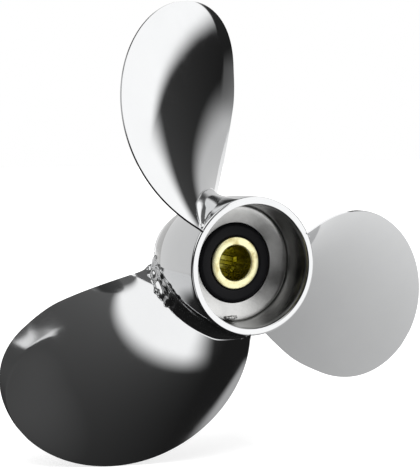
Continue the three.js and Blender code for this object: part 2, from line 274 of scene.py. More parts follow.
def new_group(name, inputs, outputs):
    """A shader node group with float or other sockets given as (name, kind, default)."""
    group = bpy.data.node_groups.new(name, "ShaderNodeTree")
    for title, kind, default in inputs:
        socket = group.interface.new_socket(title, in_out="INPUT", socket_type=kind)
        if default is not None:
            socket.default_value = default
    for title, kind in outputs:
        group.interface.new_socket(title, in_out="OUTPUT", socket_type=kind)
    entry = group.nodes.new("NodeGroupInput")
    leave = group.nodes.new("NodeGroupOutput")
    return group, entry, leave


def feed(tree, socket, value):
    """Link a socket to another one, or set it to a plain value."""
    if isinstance(value, bpy.types.NodeSocket):
        tree.links.new(value, socket)
    else:
        socket.default_value = value


def maths(tree, operation, *values):
    """A maths node fed by sockets or numbers."""
    node = tree.nodes.new("ShaderNodeMath")
    node.operation = operation
    for socket, value in zip(node.inputs, values):
        feed(tree, socket, value)
    return node.outputs[0]


def map_range(tree, source, low, high, source_low=0, source_high=1):
    """Map a source's range to another one, both given as sockets or numbers."""
    node = tree.nodes.new("ShaderNodeMapRange")
    for title, value in (("Value", source), ("From Min", source_low), ("From Max", source_high),
                         ("To Min", low), ("To Max", high)):
        feed(tree, node.inputs[title], value)
    return node.outputs["Result"]


def noise(tree, vector, scale, detail, roughness=0.5):
    node = add_node(tree, "ShaderNodeTexNoise", Scale=scale, Detail=detail, Roughness=roughness)
    tree.links.new(vector, node.inputs["Vector"])
    return node.outputs["Fac"]


def buffing_group():
    """Hand-polished metal: slow waves, fine buffing marks and faint haze."""
    tree, entry, leave = new_group(
        "buffing",
        [("Vector", "NodeSocketVector", None), ("Low roughness", "NodeSocketFloat", 0.05),
         ("High roughness", "NodeSocketFloat", 0.12)],
        [("Roughness", "NodeSocketFloat"), ("Height", "NodeSocketFloat"), ("Haze", "NodeSocketFloat")])
    vector = entry.outputs["Vector"]
    stretch = tree.nodes.new("ShaderNodeMapping")
    stretch.inputs["Scale"].default_value = (0.12, 1.0, 1.0)
    tree.links.new(vector, stretch.inputs["Vector"])
    wave = noise(tree, vector, 38.0, 1.0, 0.4)
    marks = noise(tree, stretch.outputs["Vector"], 900.0, 3.0, 0.6)
    haze = noise(tree, vector, 55.0, 4.0, 0.6)
    height = maths(tree, "MULTIPLY_ADD", marks, 0.004, wave)
    roughness = map_range(tree, haze, entry.outputs["Low roughness"],
                          entry.outputs["High roughness"], 0.35, 0.75)
    tree.links.new(roughness, leave.inputs["Roughness"])
    tree.links.new(height, leave.inputs["Height"])
    tree.links.new(haze, leave.inputs["Haze"])
    return tree


def grain_group():
    """Blasted or moulded grain: fine pits over a slow mottle."""
    tree, entry, leave = new_group(
        "grain",
        [("Vector", "NodeSocketVector", None), ("Size", "NodeSocketFloat", 1.0)],
        [("Height", "NodeSocketFloat"), ("Mottle", "NodeSocketFloat")])
    scaled = add_node(tree, "ShaderNodeVectorMath", operation="SCALE")
    tree.links.new(entry.outputs["Vector"], scaled.inputs[0])
    tree.links.new(entry.outputs["Size"], scaled.inputs["Scale"])
    vector = scaled.outputs[0]
    fine = noise(tree, vector, 2200.0, 4.0, 0.65)
    mottle = noise(tree, vector, 160.0, 5.0, 0.6)
    pits = add_node(tree, "ShaderNodeTexVoronoi", Scale=1300.0)
    tree.links.new(vector, pits.inputs["Vector"])
    both = maths(tree, "MULTIPLY_ADD", pits.outputs["Distance"], 0.5, fine)
    tree.links.new(both, leave.inputs["Height"])
    tree.links.new(mottle, leave.inputs["Mottle"])
    return tree


def shared_group(name, make):
    return bpy.data.node_groups.get(name) or make()


def place_group(tree, group, **values):
    node = tree.nodes.new("ShaderNodeGroup")
    node.node_tree = group
    for key, value in values.items():
        node.inputs[key.replace("_", " ")].default_value = value
    return node


def bump(tree, height, distance, strength, shader):
    node = add_node(tree, "ShaderNodeBump", Strength=strength, Distance=distance)
    tree.links.new(height, node.inputs["Height"])
    tree.links.new(node.outputs["Normal"], shader.inputs["Normal"])


def mix_colours(tree, factor, first, second):
    node = tree.nodes.new("ShaderNodeMix")
    node.data_type = "RGBA"
    tree.links.new(factor, node.inputs["Factor"])
    for title, tone in (("A", first), ("B", second)):
        socket = [s for s in node.inputs if s.name == title and s.type == "RGBA"][0]
        socket.default_value = (*tone, 1)
    return [s for s in node.outputs if s.type == "RGBA"][0]


def shade(tone, factor):
    """A colour made darker or lighter."""
    return [min(part * factor, 1) for part in tone]


def start_finish(name, metallic):
    """A new material with its node tree, shader and object coordinates."""
    material = bpy.data.materials.new(name)
    material.use_nodes = True
    tree = material.node_tree
    shader = tree.nodes["Principled BSDF"]
    shader.inputs["Metallic"].default_value = metallic
    return material, tree, shader, tree.nodes.new("ShaderNodeTexCoord").outputs["Object"]


def polished_steel(name, colours, offset, rough=(0.035, 0.085)):
    """Mirror-polished stainless steel."""
    material, tree, shader, place = start_finish(name, 1)
    shift = tree.nodes.new("ShaderNodeMapping")
    shift.inputs["Location"].default_value = offset
    tree.links.new(place, shift.inputs["Vector"])
    buffing = place_group(tree, shared_group("buffing", buffing_group),
                          Low_roughness=rough[0], High_roughness=rough[1])
    tree.links.new(shift.outputs["Vector"], buffing.inputs["Vector"])
    tree.links.new(buffing.outputs["Roughness"], shader.inputs["Roughness"])
    tint = mix_colours(tree, buffing.outputs["Haze"], colours.polished, shade(colours.polished, 0.94))
    tree.links.new(tint, shader.inputs["Base Color"])
    bump(tree, buffing.outputs["Height"], 0.1 * MM, 0.35, shader)
    return material


def grainy(name, metallic, size, rough, tones, depth, strength):
    """A material whose roughness, colour and bumps follow the shared grain."""
    material, tree, shader, place = start_finish(name, metallic)
    grain = place_group(tree, shared_group("grain", grain_group), Size=size)
    tree.links.new(place, grain.inputs["Vector"])
    mottle = grain.outputs["Mottle"]
    tree.links.new(map_range(tree, mottle, *rough), shader.inputs["Roughness"])
    tree.links.new(mix_colours(tree, mottle, *tones), shader.inputs["Base Color"])
    bump(tree, grain.outputs["Height"], depth, strength, shader)
    return material, shader


def cast_steel(name, colours):
    """Blasted cast stainless steel."""
    tones = (shade(colours.cast, 0.55), shade(colours.cast, 1.25))
    return grainy(name, 1, 0.7, (0.24, 0.44), tones, 0.12 * MM, 0.35)[0]


def black_rubber(name, colours):
    """Moulded rubber with a slight sheen."""
    tones = (colours.rubber, shade(colours.rubber, 2.2))
    material, shader = grainy(name, 0, 0.45, (0.34, 0.55), tones, 0.05 * MM, 0.3)
    shader.inputs["Specular IOR Level"].default_value = 0.12
    return material


def turned_steel(name, colours):
    """Turned steel left unpolished: fine rings round the shaft over a cloudy mottle, its colour
    darkened as painted shade for the recess that it lines.
    """
    radians_per_metre = 9000
    material, tree, shader, place = start_finish(name, 1)
    split = tree.nodes.new("ShaderNodeSeparateXYZ")
    tree.links.new(place, split.inputs[0])
    cloud = noise(tree, place, 120.0, 5.0, 0.6)
    rings = maths(tree, "MULTIPLY_ADD", split.outputs["Y"], radians_per_metre, cloud)
    rings = maths(tree, "SINE", rings)
    tree.links.new(map_range(tree, cloud, 0.12, 0.26, 0.3, 0.7), shader.inputs["Roughness"])
    # Painted shade: both tones are well darker than the cast steel, to stand for the shade in the
    # recess.
    tint = mix_colours(tree, cloud, shade(colours.cast, 0.25), shade(colours.cast, 0.75))
    tree.links.new(tint, shader.inputs["Base Color"])
    bump(tree, rings, 0.006 * MM, 0.5, shader)
    return material


def pale_brass(name, base, stained, roughness):
    """Machined brass: turning rings round the shaft, darker stains."""
    radians_per_metre = 21000
    material, tree, shader, place = start_finish(name, 1)
    split = tree.nodes.new("ShaderNodeSeparateXYZ")
    tree.links.new(place, split.inputs[0])
    across = maths(tree, "MULTIPLY", split.outputs["X"], split.outputs["X"])
    squares = maths(tree, "MULTIPLY_ADD", split.outputs["Z"], split.outputs["Z"], across)
    radius = maths(tree, "SQRT", squares)
    jitter = noise(tree, place, 260.0, 2.0)
    rings = maths(tree, "MULTIPLY_ADD", radius, radians_per_metre, jitter)
    rings = maths(tree, "SINE", rings)
    stain = noise(tree, place, 190.0, 5.0, 0.62)
    patches = map_range(tree, stain, 0, 1, 0.5, 0.72)
    tree.links.new(mix_colours(tree, patches, base, stained), shader.inputs["Base Color"])
    tree.links.new(map_range(tree, patches, roughness, roughness + 0.2), shader.inputs["Roughness"])
    bump(tree, rings, 0.004 * MM, 0.5, shader)
    return material


# ---- Hub ----


def barrel_radius(sizes, y):
    share = clamp(y / sizes.length)
    return sizes.rim_radius - (sizes.rim_radius - sizes.aft_radius) * share ** sizes.taper_power


class TurnBarrel(bpy.types.Operator):
    """Turn the tapered outer hub with its rounded rim and deep recess"""

    bl_idname = "propeller.turn_barrel"
    bl_label = "Hub barrel"

    def execute(self, context):
        sizes = context.scene.propeller_hub
        rim_round = 0.9 * MM
        lip = 0.7 * MM
        aft_round = 2.4 * MM
        wall = 3.0 * MM
        web = HOUSING_HIGH.y + 0.4 * MM
        outline = [(sizes.mouth_radius - 0.1 * MM, lip), (sizes.mouth_radius + 0.15 * MM, 0.15 * MM),
                   (sizes.mouth_radius + lip, 0)]
        outline += outline_arc(sizes.rim_radius - rim_round, rim_round, rim_round, -90, 0, 6)
        stations = 22
        straight = sizes.length - aft_round - rim_round
        for i in range(1, stations + 1):
            y = rim_round + straight * i / stations
            outline.append((barrel_radius(sizes, y), y))
        aft_centre = barrel_radius(sizes, sizes.length - aft_round) - aft_round
        outline += outline_arc(aft_centre, sizes.length - aft_round, aft_round, 18, 90, 5)
        opening = sizes.aft_opening
        outline += [(opening + 0.8 * MM, sizes.length), (opening + 0.15 * MM, sizes.length - 0.2 * MM),
                    (opening, sizes.length - 0.8 * MM), (opening, web)]
        outline += [(barrel_radius(sizes, web) - wall, web), (sizes.recess_radius - 0.4 * MM, 32 * MM),
                    (sizes.recess_radius, sizes.recess_depth + 5 * MM)]
        inside = sizes.recess_depth
        wall_stations = 6
        for i in range(wall_stations + 1):
            share = i / wall_stations
            r = sizes.recess_radius + (sizes.mouth_radius - sizes.recess_radius) * share
            outline.append((r, inside + (1.2 * MM - inside) * share))
        piece = turn("barrel_polished", outline, 144)
        smooth(piece, 40)
        colours = context.scene.propeller_steel
        piece.data.materials.append(polished_steel("hub_polish", colours, (0.31, 0.12, 0.07)))
        piece.data.materials.append(turned_steel("recess_wall", colours))
        for face in piece.data.polygons:
            radius = math.hypot(face.center.x, face.center.z)
            if radius < sizes.mouth_radius and face.center.y > lip and face.center.y < web:
                face.material_index = 1
        settle(piece, "propeller", "polished_hub", "hub_barrel")
        return {"FINISHED"}


class TurnHousing(bpy.types.Operator):
    """Turn the bush housing with its dished, blasted floor"""

    bl_idname = "propeller.turn_housing"
    bl_label = "Bush housing"

    def execute(self, context):
        sizes = context.scene.propeller_hub
        rim = sizes.recess_radius - 0.03 * MM
        face = sizes.recess_depth
        bore = sizes.bush_bore
        tube = HOUSING_HIGH.z - 5.4 * MM
        outline = [(rim, face + 0.5 * MM), (rim - 0.35 * MM, face + 0.1 * MM), (rim - 0.8 * MM, face)]
        dish_stations = 6
        for i in range(1, dish_stations):
            share = i / dish_stations
            r = rim - 0.8 * MM + (bore + 0.6 * MM - rim + 0.8 * MM) * share
            outline.append((r, face + sizes.floor_dish * share ** 1.2))
        floor = face + sizes.floor_dish
        outline += [(bore + 0.6 * MM, floor), (bore + 0.15 * MM, floor + 0.2 * MM),
                    (bore, floor + 0.7 * MM), (bore, HOUSING_HIGH.y), (tube, HOUSING_HIGH.y),
                    (tube, face + 6 * MM), (rim, face + 4 * MM)]
        piece = turn("housing_cast", outline, 120)
        smooth(piece, 40)
        piece.data.materials.append(cast_steel("blasted_cast", context.scene.propeller_steel))
        settle(piece, "propeller", "cast_floor", "bush_housing")
        return {"FINISHED"}


class LayTackWeld(bpy.types.Operator):
    """Lay the short lumpy weld in the bottom corner of the recess"""

    bl_idname = "propeller.lay_tack_weld"
    bl_label = "Tack weld"

    def execute(self, context):
        low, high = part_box("housing_tack_weld")
        middle = (low + high) / 2
        deselect()
        lumps = []
        sway = 0.15 * MM
        for share, size in ((-0.36, 0.8), (-0.16, 1.05), (0.04, 1.2), (0.22, 0.9), (0.38, 0.7)):
            place = (middle.x + share * (high.x - low.x), middle.y + sway * (-1) ** len(lumps),
                     middle.z - 0.3 * MM + abs(share) * MM)
            bpy.ops.mesh.primitive_ico_sphere_add(subdivisions=3, radius=size * MM, location=place)
            lumps.append(bpy.context.object)
        for lump in lumps:
            lump.select_set(True)
        bpy.ops.object.join()
        piece = bpy.context.object
        piece.name = piece.data.name = "tack_weld_bead"
        modify(piece, "skin", "REMESH", mode="VOXEL", voxel_size=0.16 * MM)
        modify(piece, "ease", "SMOOTH", iterations=6)
        apply_modifiers(piece)
        smooth(piece, 60)
        piece.data.materials.append(cast_steel("tack_metal", context.scene.propeller_steel))
        settle(piece, "propeller", "tack_weld", "housing_tack_weld")
        return {"FINISHED"}


class MouldBush(bpy.types.Operator):
    """Turn the rubber cushion with its rounded ends"""

    bl_idname = "propeller.mould_bush"
    bl_label = "Rubber bush"

    def execute(self, context):
        inner = SLEEVE_HIGH.x + 0.03 * MM
        outer = RUBBER_HIGH.x
        front = RUBBER_LOW.y
        back = RUBBER_HIGH.y
        swell = 1.9 * MM
        outline = [(inner, front + 1.6 * MM)]
        outline += outline_arc(inner + 1.3 * MM, front + 1.3 * MM, 1.3 * MM, 180, 270, 5)
        outline += outline_arc(outer - swell, front + swell, swell, -90, 0, 8)
        outline += outline_arc(outer - swell, back - swell, swell, 0, 90, 5)
        outline += [(inner, back)]
        piece = turn("bush_moulded", outline, 120)
        smooth(piece, 50)
        piece.data.materials.append(black_rubber("cushion_rubber", context.scene.propeller_steel))
        settle(piece, "cushion", "rubber", "rubber_bush")
        return {"FINISHED"}


class CutSleeve(bpy.types.Operator):
    """Turn the brass sleeve and raise the splines inside it"""

    bl_idname = "propeller.cut_sleeve"
    bl_label = "Drive sleeve"

    def execute(self, context):
        sizes = context.scene.propeller_hub
        outer = SLEEVE_HIGH.x
        front = SLEEVE_LOW.y
        back = SLEEVE_HIGH.y
        ease = 0.45 * MM
        shelf = front + sizes.counterbore_depth
        slices_per_spline = 12
        outline = [(outer - ease, front), (outer - 0.12 * MM, front + 0.12 * MM), (outer, front + ease),
                   (outer, back - ease), (outer - ease, back),
                   (sizes.spline_crest + ease, back), (sizes.spline_crest, back - ease),
                   (sizes.spline_crest, shelf), (sizes.counterbore, shelf - 0.8 * MM),
                   (sizes.counterbore, front + ease), (sizes.counterbore + ease, front)]
        piece = turn("sleeve_brass", outline, sizes.spline_count * slices_per_spline)
        switch("EDIT")
        grooves = sizes.spline_root / sizes.spline_crest

        def in_groove(vert):
            radius = math.hypot(vert.co.x, vert.co.z)
            turned = math.atan2(vert.co.z, vert.co.x) / math.tau * sizes.spline_count % 1
            return radius < sizes.spline_crest + 0.1 * MM and 0.26 < turned < 0.74

        pick(piece, in_groove)
        bpy.ops.transform.resize(value=(grooves, 1, grooves), center_override=(0, 0, 0))
        switch("OBJECT")
        modify(piece, "soften", "BEVEL", width=0.12 * MM, segments=2, limit_method="ANGLE",
               angle_limit=math.radians(35))
        apply_modifiers(piece)
        smooth(piece, 35)
        colours = context.scene.propeller_steel
        piece.data.materials.append(pale_brass("sleeve_metal", colours.brass, colours.stain, 0.32))
        # The bore's brass takes the painted-shade colour, with darker random patches of it.
        piece.data.materials.append(
            pale_brass("sleeve_bore", colours.oiled, shade(colours.oiled, 0.5), 0.2))
        for face in piece.data.polygons:
            radius = math.hypot(face.center.x, face.center.z)
            if radius < sizes.counterbore + 0.1 * MM and face.center.y > front + ease:
                face.material_index = 1
        settle(piece, "sleeve", "brass", "drive_sleeve")
        return {"FINISHED"}


# ---- Blades ----


def along(coefficients, share):
    """A curve a + b u + c u^2 in millimetres at a share of the span."""
    a, b, c = coefficients
    return (a + b * share + c * share * share) * MM


LEADING_WIDTH = (36.3, 33.7, -1.5)
TRAILING_WIDTH = (30.1, 36.3, 10.3)
SWEEP = (0, -11.8, 29)
RAKE_SLOPE = 0.153
RAKE_CURVE = 1.06
ROOT_INSIDE = 16 * MM
ROWS = 40
ROWS_INSIDE = 5
LAST_ROW = 0.998
COLUMNS = 32
CUP_COLUMNS = 4
CUP_FADE = (0.5, 0.66)


def climb(r, lead):
    """How much of a step along the blade's helix runs along the shaft, at a radius."""
    return lead / math.hypot(r, lead)


def raked(y, out):
    """A place along the shaft after the blade's lean, at a distance out from the root."""
    return y + RAKE_SLOPE * out - RAKE_CURVE * out * out


def one_per_blade(first, title):
    """The upper blade's piece and a copy, with its own mesh, for each other blade."""
    pieces = [first]
    for name in BLADES[1:]:
        copy = first.copy()
        copy.data = first.data.copy()
        copy.name = copy.data.name = title.format(name)
        bpy.context.collection.objects.link(copy)
        pieces.append(copy)
    return pieces


class ShapeBlades(bpy.types.Operator):
    """Shape one blade from a flat sheet, twist it to its pitch, thicken it and copy it"""

    bl_idname = "propeller.shape_blades"
    bl_label = "Blades"

    def row_radius(self, i):
        """Rows of the sheet: a few inside the barrel, the rest closing up towards the tip."""
        if i < ROWS_INSIDE:
            return ROOT_INSIDE + (self.root - ROOT_INSIDE) * i / ROWS_INSIDE
        swing = math.asin(LAST_ROW) * (i - ROWS_INSIDE) / (ROWS - ROWS_INSIDE)
        return self.root + (self.tip - self.root) * math.sin(swing)

    def share(self, r):
        return clamp((r - self.root) / (self.tip - self.root))

    def flat_outline(self, piece):
        """Widen and place each row along the shaft, as the sheet lies before its twist."""
        width = 2.0

        def at(row, column):
            return lambda vert: vert[self.layer] == row and vert[self.column] == column

        for i in range(ROWS + 1):
            r = self.row_radius(i)
            u = self.share(r)
            taper = math.sqrt(max(1 - u * u, 0))
            ahead = along(LEADING_WIDTH, u) * taper
            behind = along(TRAILING_WIDTH, u) * taper
            centre = along(SWEEP, u) + (behind - ahead) / 2
            per_arc = climb(r, self.lead)
            pick(piece, lambda vert, i=i: vert[self.layer] == i)
            bpy.ops.transform.resize(value=(1, (ahead + behind) * per_arc / width, 1),
                                     center_override=(0, 0, 0))
            here = self.row_place[i]
            bpy.ops.transform.translate(value=(r - here, centre * per_arc, 0))
            step = (ahead + behind) / COLUMNS
            cupped = clamp((u - CUP_FADE[0]) / (CUP_FADE[1] - CUP_FADE[0]))
            curl = cupped * math.tan(self.sizes.cup) * step / per_arc
            for k in range(1, CUP_COLUMNS + 1):
                pick(piece, at(i, COLUMNS - CUP_COLUMNS + k))
                bpy.ops.transform.translate(value=(0, 0, k * curl))
        pick(piece, lambda vert: vert[self.column] == COLUMNS - CUP_COLUMNS)
        bpy.ops.transform.edge_crease(value=0.9)

    def rake(self, piece):
        """Move the twisted sheet to its place along the shaft, and lean each row aft."""
        for i in range(ROWS + 1):
            out = max(self.row_radius(i) - self.root, 0)
            pick(piece, lambda vert, i=i: vert[self.layer] == i)
            bpy.ops.transform.translate(value=(0, raked(self.sizes.middle, out), 0))

    def thicken(self, piece):
        """Weights carry the thickness, greatest at the root and mid chord."""
        sizes = self.sizes
        group = piece.vertex_groups.new(name="thickness")
        rows = [layer.value for layer in piece.data.attributes["row"].data]
        columns = [layer.value for layer in piece.data.attributes["column"].data]
        for index, (row, column) in enumerate(zip(rows, columns)):
            u = self.share(self.row_radius(row))
            v = 2 * column / COLUMNS - 1
            full = sizes.root_thickness + (sizes.tip_thickness - sizes.root_thickness) * u ** 0.8
            swell = (full - sizes.edge_thickness) * (1 - v * v) * math.sqrt(1 - u ** 6)
            group.add([index], (sizes.edge_thickness + swell) / sizes.root_thickness, "REPLACE")

    def execute(self, context):
        self.sizes = context.scene.propeller_blade
        hub = context.scene.propeller_hub
        self.tip = self.sizes.tip_radius
        self.root = hub.rim_radius
        self.lead = self.sizes.pitch / math.tau

        deselect()
        bpy.ops.mesh.primitive_grid_add(x_subdivisions=ROWS, y_subdivisions=COLUMNS, size=2)
        piece = bpy.context.object
        piece.name = piece.data.name = "blade_upper_polished"
        mesh = piece.data
        rows = mesh.attributes.new("row", "INT", "POINT")
        columns = mesh.attributes.new("column", "INT", "POINT")
        for index, vert in enumerate(mesh.vertices):
            rows.data[index].value = round((vert.co.x + 1) / 2 * ROWS)
            columns.data[index].value = round((vert.co.y + 1) / 2 * COLUMNS)
        self.row_place = [2 * i / ROWS - 1 for i in range(ROWS + 1)]
        switch("EDIT")
        self.layer = bmesh.from_edit_mesh(mesh).verts.layers.int["row"]
        self.column = bmesh.from_edit_mesh(mesh).verts.layers.int["column"]
        self.flat_outline(piece)
        switch("OBJECT")

        heights = [vert.co.y for vert in mesh.vertices]
        modify(piece, "pitch", "SIMPLE_DEFORM", deform_method="TWIST", deform_axis="Y",
               angle=(max(heights) - min(heights)) / self.lead)
        apply_modifiers(piece)
        switch("EDIT")
        self.layer = bmesh.from_edit_mesh(piece.data).verts.layers.int["row"]
        self.rake(piece)
        switch("OBJECT")
        self.thicken(piece)
        self.finish(context, piece)
        return {"FINISHED"}

    def finish(self, context, piece):
        sizes = self.sizes
        hub = context.scene.propeller_hub
        modify(piece, "finer", "SUBSURF", levels=1, render_levels=1)
        modify(piece, "wall", "SOLIDIFY", thickness=sizes.root_thickness, offset=0.7,
               vertex_group="thickness")
        apply_modifiers(piece)
        modify(piece, "edge", "BEVEL", width=sizes.edge_thickness * 0.42, segments=4,
               limit_method="ANGLE", angle_limit=math.radians(55))
        apply_modifiers(piece)

        core, start, sink, stations = 1 * MM, -20 * MM, 0.8 * MM, 24
        outline = [(core, start)]
        for i in range(stations + 1):
            y = start + i / stations * (hub.length + 30 * MM)
            outline.append((barrel_radius(hub, y) - sink, y))
        outline.append((core, hub.length + 10 * MM))
        cutter = turn("root_cutter", outline, 96)
        modify(piece, "root", "BOOLEAN", operation="DIFFERENCE", object=cutter, solver="EXACT")
        apply_modifiers(piece)
        bpy.data.objects.remove(cutter)
        smooth(piece, 40)
        modify(piece, "level", "WEIGHTED_NORMAL", keep_sharp=True)
        apply_modifiers(piece)

        blades = one_per_blade(piece, "blade_{}_polished")
        for i, (name, blade) in enumerate(zip(BLADES, blades)):
            activate(blade)
            angle = sizes.clock + i * math.tau / len(BLADES)
            blade.rotation_euler = (0, -angle, 0)
            blade.data.materials.append(
                polished_steel(f"blade_{name}_polish", context.scene.propeller_steel,
                               (0.4 + 0.3 * i, 0.21 * i, 0.1)))
            settle(blade, "propeller", f"polished_blade_{name}", f"blade_{name}")


HOLLOW_STEPS = 9
RAGGED_FROM = 25 * MM
RAGGED_RUN = 12 * MM


class LayRootWelds(bpy.types.Operator):
    """Lay a smooth hollow fillet along each blade's root, lumpy at the lower left one's tail"""

    bl_idname = "propeller.lay_root_welds"
    bl_label = "Root welds"

    def screw_point(self, r, s):
        """A point of the blade's middle surface, s along its helix at radius r."""
        turn = s / math.hypot(r, self.lead)
        y = raked(self.sizes.middle + self.lead * turn, max(r - self.root, 0))
        angle = self.sizes.clock - turn
        return Vector((r * math.cos(angle), y, r * math.sin(angle)))

    def chordwise(self, r, v):
        u = clamp((r - self.root) / (self.tip - self.root))
        taper = math.sqrt(max(1 - u * u, 0))
        width = along(LEADING_WIDTH, u) if v < 0 else along(TRAILING_WIDTH, u)
        return along(SWEEP, u) + v * width * taper

    def on_barrel(self, point):
        scale = barrel_radius(self.hub, point.y) / math.hypot(point.x, point.z)
        return Vector((point.x * scale, point.y, point.z * scale))

    def ring(self, v, turn, blade, barrel):
        """The bead's closed section at a place along its course round the root."""
        step = 0.1 * MM
        sink = 0.06 * MM
        hidden = 0.5 * MM
        passes = 10
        r = self.root
        for _ in range(passes):
            r = barrel_radius(self.hub, self.screw_point(r, self.chordwise(r, v)).y)
        nose, nose_run, least, rise = -0.98, 0.4, 0.06, 0.7
        reach = self.sizes.weld_reach * clamp((v - nose) / nose_run, least) ** rise
        directions = []
        for height in (0, reach):
            s = self.chordwise(r + height, v)
            outward = self.screw_point(r + height + step, s) - self.screw_point(r + height - step, s)
            onward = self.screw_point(r + height, s + step) - self.screw_point(r + height, s - step)
            normal = outward.cross(onward).normalized()
            if normal.y > 0:
                normal.negate()
            away = normal * math.cos(turn) + onward.normalized() * math.sin(turn)
            directions.append((self.screw_point(r + height, s), away))
        (foot, away), (shoulder, shoulder_away) = directions
        forward = (1 + math.cos(turn)) / 2
        camber = (self.sizes.root_thickness - self.sizes.edge_thickness) * (1 - v * v)
        skin = self.sizes.edge_thickness / 2 + camber * (0.15 + 0.7 * forward)
        corner = self.on_barrel(foot + away * skin)
        radial = Vector((corner.x, 0, corner.z)).normalized()
        top = blade.find_nearest(shoulder + shoulder_away * skin)[0] - shoulder_away * sink
        side = barrel.find_nearest(self.on_barrel(foot + away * (skin + reach)))[0] - radial * sink
        hollow = []
        for i in range(HOLLOW_STEPS + 1):
            share = i / HOLLOW_STEPS
            hollow.append(top * (1 - share) ** 2 + corner * 2 * share * (1 - share) + side * share ** 2)
        sunk = corner - (away + radial) * 0.6 * MM
        return [top - shoulder_away * hidden, *hollow, side - radial * hidden, sunk]

    def bead(self, context):
        """The upper blade's bead, as rings joined in order with a cap at each end."""
        trees = [BVHTree.FromObject(bpy.data.objects[name], context.evaluated_depsgraph_get())
                 for name in ("blade_upper_polished", "barrel_polished")]
        start, tail, stations, corners = -0.96, 0.975, 44, 14
        course = [(start + (tail - start) * i / stations, 0) for i in range(stations)]
        course += [(tail, math.pi * i / corners) for i in range(corners + 1)]
        course += [(tail + (start - tail) * i / stations, math.pi) for i in range(1, stations + 1)]
        rings = [self.ring(v, turn, *trees) for v, turn in course]
        count = len(rings[0])
        points = [point for ring in rings for point in ring]
        faces = []
        for i in range(len(rings) - 1):
            for j in range(count):
                k = (j + 1) % count
                faces.append((i * count + j, i * count + k, (i + 1) * count + k, (i + 1) * count + j))
        faces.append(tuple(range(count)))
        faces.append(tuple(reversed(range(len(points) - count, len(points)))))
        mesh = bpy.data.meshes.new("weld_upper_dressed")
        mesh.from_pydata(points, [], faces)
        piece = bpy.data.objects.new(mesh.name, mesh)
        context.collection.objects.link(piece)
        activate(piece)
        switch("EDIT")
        bpy.ops.mesh.select_all(action="SELECT")
        bpy.ops.mesh.normals_make_consistent(inside=False)
        switch("OBJECT")
        return piece

    def make_ragged(self, piece):
        """Raise lumps where the bead was left rough, towards the hub's aft end."""
        group = piece.vertex_groups.new(name="ragged")
        for k, vert in enumerate(piece.data.vertices):
            group.add([k], clamp((vert.co.y - RAGGED_FROM) / RAGGED_RUN), "REPLACE")
        lumps = bpy.data.textures.new("weld_lumps", "CLOUDS")
        lumps.noise_scale = 3.2 * MM
        lumps.noise_depth = 1
        modify(piece, "lumps", "DISPLACE", texture=lumps, texture_coords="LOCAL",
               vertex_group="ragged", mid_level=0.4, strength=3 * MM)

    def execute(self, context):
        self.sizes = context.scene.propeller_blade
        self.hub = context.scene.propeller_hub
        self.root, self.tip = self.hub.rim_radius, self.sizes.tip_radius
        self.lead = self.sizes.pitch / math.tau
        welds = one_per_blade(self.bead(context), "weld_{}_dressed")
        for i, (name, piece) in enumerate(zip(BLADES, welds)):
            activate(piece)
            piece.rotation_euler = (0, -i * math.tau / len(BLADES), 0)
            bpy.ops.object.transform_apply(location=True, rotation=True, scale=True)
            modify(piece, "finer", "SUBSURF", levels=1, render_levels=1)
            apply_modifiers(piece)
            if name == "lower_left":
                self.make_ragged(piece)
                apply_modifiers(piece)
            smooth(piece, 60)
            piece.data.materials.append(
                polished_steel(f"weld_{name}_polish", context.scene.propeller_steel,
                               (0.15 * i, 0.4, 0.2), (0.05, 0.12)))
            settle(piece, "propeller", f"root_weld_{name}", f"root_weld_{name}")
        return {"FINISHED"}


# ---- Stage ----


def softbox_group():
    """A soft-edged panel of light, placed by compass angle and height, that can lean over."""
    titles = ("Azimuth", "Elevation", "Centre azimuth", "Half width", "Centre elevation",
              "Half height", "Lean", "Side softness", "Top softness", "Strength")
    tree, entry, leave = new_group(
        "softbox", [(title, "NodeSocketFloat", 0.0) for title in titles],
        [("Light", "NodeSocketFloat")])
    across = maths(tree, "SUBTRACT", entry.outputs["Azimuth"], entry.outputs["Centre azimuth"])
    across = maths(tree, "WRAP", across, 180.0, -180.0)
    above = maths(tree, "SUBTRACT", entry.outputs["Elevation"], entry.outputs["Centre elevation"])
    lean = maths(tree, "RADIANS", entry.outputs["Lean"])
    cosine = maths(tree, "COSINE", lean)
    sine = maths(tree, "SINE", lean)
    level = maths(tree, "MULTIPLY", across, cosine)
    level = maths(tree, "MULTIPLY_ADD", above, sine, level)
    upright = maths(tree, "MULTIPLY", above, cosine)
    upright = maths(tree, "SUBTRACT", upright, maths(tree, "MULTIPLY", across, sine))
    masks = []
    for offset, half, softness in ((level, "Half width", "Side softness"),
                                   (upright, "Half height", "Top softness")):
        inside = maths(tree, "SUBTRACT", entry.outputs[half], maths(tree, "ABSOLUTE", offset))
        span = tree.nodes.new("ShaderNodeMapRange")
        span.interpolation_type = "SMOOTHSTEP"
        edge = maths(tree, "MULTIPLY", entry.outputs[softness], 0.5)
        tree.links.new(maths(tree, "MULTIPLY", edge, -1.0), span.inputs["From Min"])
        tree.links.new(edge, span.inputs["From Max"])
        tree.links.new(inside, span.inputs["Value"])
        masks.append(span.outputs["Result"])
    both = maths(tree, "MULTIPLY", *masks)
    tree.links.new(maths(tree, "MULTIPLY", both, entry.outputs["Strength"]), leave.inputs["Light"])
    return tree


